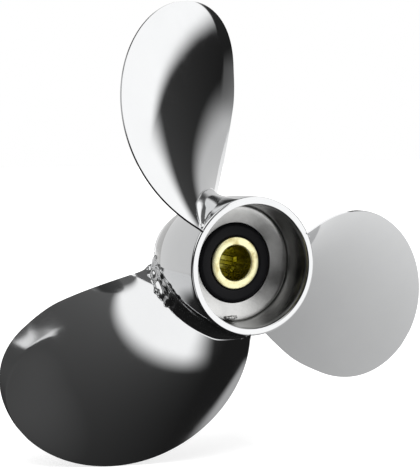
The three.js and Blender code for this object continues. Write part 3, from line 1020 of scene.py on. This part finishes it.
# Each panel: middle and half width round the compass, middle and half height, lean, side and top
# softness, all in degrees (0 is +Y, 90 is +X), then its strength.
PANELS = {
    "back wall": (-6, 34, 9, 23, 0, 14, 12, 0.85),
    "wall ends": (0, 62, 9, 20, 0, 14, 12, 0.66),
    "pale ground": (43.8, 38, -9.7, 33.8, -34, 20, 15, 0.74),
    "left box": (-104, 45.5, 60, 35.5, 26, 14, 17, 1.5),
    "right box": (136.7, 15.4, 14.7, 52, 27, 4, 14, 1.6),
    "right box edge": (120, 12.1, 12, 54, 22, 5, 14, 1.6),
    "top box": (145.3, 28, 48.9, 35.5, -12, 14, 9, 1.6),
    "top box edge": (98.1, 36, 76, 47.5, -23, 14, 10, 1.6),
    "window": (-175.65, 1.2, 40.2, 1.9, -9, 0.4, 0.6, 1.3),
    "window glow": (-176, 12, 26, 15, 0, 24, 24, 0.1),
    "ground edge": (-148, 26, -19, 11.5, -19, 12, 3, 0.6),
}


SENSOR_WIDTH = 36
WHITE = (1, 1, 1, 1)
HAZE = (0.018, 0.17)
HAZE_TOP = 75

# Each floor: two corners, grey, glow near the object and far from it, and where that glow changes; the
# lower glow near the object is a painted shadow.
SEEN_FLOOR = ((-3, -3), (3, 3), 0.6, (0.62, 0.8), (0.1, 0.45))
MIRRORED_FLOOR = ((0.02, -0.11), (1.6, 1.6), 0.2, (0.45, 1.0), (0.09, 0.25))


class SetStage(bpy.types.Operator):
    """Lay the pale floor and set the soft studio light and the camera"""

    bl_idname = "propeller.set_stage"
    bl_label = "Stage"

    def world(self):
        world = bpy.data.worlds.new("soft_studio")
        bpy.context.scene.world = world
        world.use_nodes = True
        tree = world.node_tree
        background = tree.nodes["Background"]
        place = tree.nodes.new("ShaderNodeTexCoord")
        split = tree.nodes.new("ShaderNodeSeparateXYZ")
        tree.links.new(place.outputs["Generated"], split.inputs[0])
        compass = maths(tree, "ARCTAN2", split.outputs["X"], split.outputs["Y"])
        azimuth = maths(tree, "DEGREES", compass)
        elevation = maths(tree, "DEGREES", maths(tree, "ARCSINE", split.outputs["Z"]))
        group = softbox_group()
        total = map_range(tree, elevation, *HAZE, 0, HAZE_TOP)
        for title, numbers in PANELS.items():
            panel = tree.nodes.new("ShaderNodeGroup")
            panel.node_tree = group
            panel.label = title
            tree.links.new(azimuth, panel.inputs["Azimuth"])
            tree.links.new(elevation, panel.inputs["Elevation"])
            for socket, number in zip(list(panel.inputs)[2:], numbers):
                socket.default_value = number
            total = maths(tree, "MAXIMUM", total, panel.outputs["Light"])
        path = tree.nodes.new("ShaderNodeLightPath")
        seen = maths(tree, "MAXIMUM", total, path.outputs["Is Camera Ray"])
        tree.links.new(seen, background.inputs["Strength"])
        background.inputs["Color"].default_value = WHITE

    def floor(self, name, low, high, grey, glow, spread):
        """A level sheet between two corners that glows a little, less so near the object, where the
        dimmer glow is a painted shadow.
        """
        deselect()
        bpy.ops.mesh.primitive_plane_add(size=1)
        sheet = bpy.context.object
        sheet.name = sheet.data.name = name
        low, high = Vector(low), Vector(high)
        sheet.location = (*((low + high) / 2), CAD_BOX[0].z - self.gap)
        sheet.scale = (*(high - low), 1)
        activate(sheet)
        bpy.ops.object.transform_apply(location=True, rotation=True, scale=True)
        material, tree, shader, place = start_finish(name, 0)
        shader.inputs["Base Color"].default_value = (grey, grey, grey, 1)
        shader.inputs["Roughness"].default_value = 0.9
        shader.inputs["Specular IOR Level"].default_value = 0.1
        shader.inputs["Emission Color"].default_value = WHITE
        reach = add_node(tree, "ShaderNodeVectorMath", operation="LENGTH")
        tree.links.new(place, reach.inputs[0])
        tree.links.new(map_range(tree, reach.outputs["Value"], *glow, *spread),
                       shader.inputs["Emission Strength"])
        sheet.data.materials.append(material)
        return sheet

    def lamp(self, studio):
        """A square lamp overhead that points at the hub."""
        data = bpy.data.lights.new("overhead", "AREA")
        data.size = studio.lamp_size
        data.energy = studio.lamp_power
        lamp = bpy.data.objects.new("overhead", data)
        bpy.context.collection.objects.link(lamp)
        lamp.location = studio.lamp_place
        lamp.rotation_euler = (-Vector(studio.lamp_place)).to_track_quat("-Z", "Y").to_euler()
        lamp.visible_glossy = False
        lamp.visible_camera = False

    def camera(self, studio):
        data = bpy.data.cameras.new("camera")
        data.sensor_width = SENSOR_WIDTH
        data.lens = studio.lens
        camera = bpy.data.objects.new("camera", data)
        bpy.context.collection.objects.link(camera)
        turn_z, lift = studio.azimuth, studio.elevation
        back = Vector((math.sin(turn_z) * math.cos(lift), -math.cos(turn_z) * math.cos(lift),
                       math.sin(lift)))
        camera.location = Vector(studio.aim) + back * studio.distance
        camera.rotation_euler = (math.pi / 2 - lift, 0, turn_z)
        data.clip_start = 0.01
        bpy.context.scene.camera = camera

    def execute(self, context):
        studio = context.scene.propeller_studio
        self.gap = studio.floor_gap
        self.world()
        seen = self.floor("floor", *SEEN_FLOOR)
        seen.visible_glossy = seen.visible_diffuse = False
        # The sheet seen only in reflections glows less near the object: painted shadow in what the
        # steel reflects.
        mirrored = self.floor("floor_sheet", *MIRRORED_FLOOR)
        mirrored.visible_camera = mirrored.visible_shadow = False
        self.lamp(studio)
        self.camera(studio)
        context.scene.view_settings.view_transform = "Standard"
        return {"FINISHED"}


OPERATORS = (TurnBarrel, TurnHousing, LayTackWeld, MouldBush, CutSleeve, ShapeBlades, LayRootWelds,
             SetStage)
GROUP_TYPES = {"propeller_hub": HubSizes, "propeller_blade": BladeSizes,
               "propeller_steel": SteelColours, "propeller_studio": StudioSizes}


class PropellerPanel(bpy.types.Panel):
    """Lists the pieces of the propeller"""

    bl_idname = "VIEW3D_PT_propeller"
    bl_label = "Propeller"
    bl_space_type = "VIEW_3D"
    bl_region_type = "UI"
    bl_category = "Propeller"

    def draw(self, context):
        for operator in OPERATORS:
            self.layout.operator(operator.bl_idname)
        for name in GROUP_TYPES:
            column = self.layout.column()
            column.label(text=name.replace("_", " ").capitalize())
            settings = getattr(context.scene, name)
            for prop in settings.bl_rna.properties:
                if prop.identifier not in ("rna_type", "name"):
                    column.prop(settings, prop.identifier)


def register():
    for name, group in GROUP_TYPES.items():
        bpy.utils.register_class(group)
        setattr(bpy.types.Scene, name, bpy.props.PointerProperty(type=group))
    for kind in (*OPERATORS, PropellerPanel):
        bpy.utils.register_class(kind)


def unregister():
    for kind in (PropellerPanel, *reversed(OPERATORS)):
        bpy.utils.unregister_class(kind)
    for name, group in GROUP_TYPES.items():
        delattr(bpy.types.Scene, name)
        bpy.utils.unregister_class(group)


def main():
    register()
    for operator in OPERATORS:
        family, action = operator.bl_idname.split(".")
        getattr(getattr(bpy.ops, family), action)()


if __name__ == "__main__":
    main()
